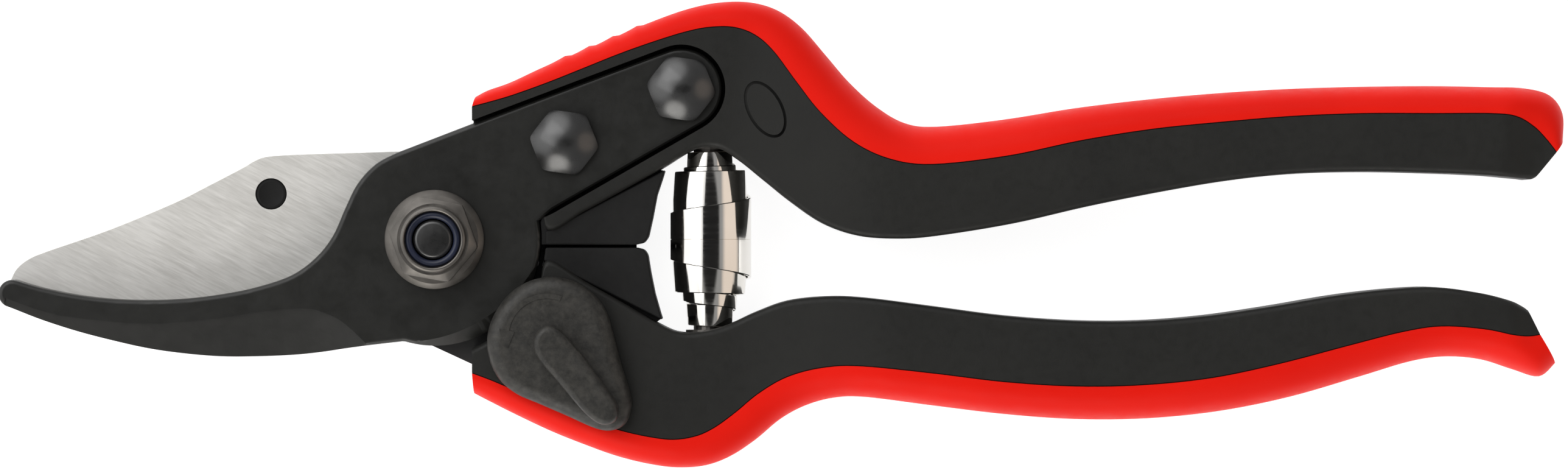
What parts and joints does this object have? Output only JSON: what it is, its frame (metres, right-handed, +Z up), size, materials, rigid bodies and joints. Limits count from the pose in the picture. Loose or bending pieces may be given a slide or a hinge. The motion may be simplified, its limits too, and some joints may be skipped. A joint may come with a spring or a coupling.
{
  "type": "bypass pruning shears",
  "caption": "Hand-held bypass pruning shears: ground blade against a hooked counter-blade, red soft-grip handles, volute spring and thumb catch, closed.",
  "frame": {"origin": "on the pivot axis, on the flat underside of the pivot bolt's head, which lies on the table", "axes": "+X from the pivot towards the handle ends, +Y from the blade side's handle towards the counter-blade side's handle, +Z up, out of the counter-blade's face"},
  "size_m": [0.2198, 0.0654, 0.02],
  "materials": {
    "core_nylon": "fine-grained moulded glass-filled nylon",
    "grip_elastomer": "smooth satin thermoplastic elastomer",
    "bumper_rubber": "matte black rubber",
    "blade_steel": "ground steel, tang blackened",
    "coated_steel": "low-friction black coating over forged steel",
    "black_hardware": "glossy black oxide",
    "brass_parts": "plain turned",
    "zinc_steel": "dull zinc-nickel plate",
    "lock_nylon": "smooth nylon",
    "spring_chrome": "bright plated spring strip"
  },
  "bodies": {
    "lower_handle": {"lower_handle_core": "core_nylon", "lower_soft_grip": "grip_elastomer", "lower_bumper": "bumper_rubber", "blade_plug": "bumper_rubber", "cutting_blade": "blade_steel", "tang_screw": "black_hardware", "catch_stud": "black_hardware", "tang_insert": "brass_parts", "blade_bush": "brass_parts", "lower_spring_seat": "zinc_steel", "volute_spring": "spring_chrome", "catch_wave_washer": "spring_chrome"},
    "upper_handle": {"upper_handle_core": "core_nylon", "upper_soft_grip": "grip_elastomer", "upper_bumper": "bumper_rubber", "counter_blade": "coated_steel", "tail_screw_front": "black_hardware", "tail_screw_rear": "black_hardware", "tail_insert_front": "brass_parts", "tail_insert_rear": "brass_parts", "upper_spring_seat": "zinc_steel", "pivot_bolt": "black_hardware", "bolt_washer": "zinc_steel", "pivot_nut": "zinc_steel", "nut_lock_ring": "lock_nylon"},
    "catch": {"catch_lever": "core_nylon", "catch_dog": "zinc_steel"}
  },
  "joints": [
    {"name": "main_pivot", "type": "hinge", "parent": "lower_handle", "child": "upper_handle", "pos_m": [0, 0, 0.008], "axis": [0, 0, 1], "range_deg": [0, 32], "deforming": ["volute_spring"]},
    {"name": "catch_turn", "type": "hinge", "parent": "lower_handle", "child": "catch", "pos_m": [0.0159, -0.0136, 0.008], "axis": [0, 0, 1], "range_deg": [0, 40]}
  ]
}
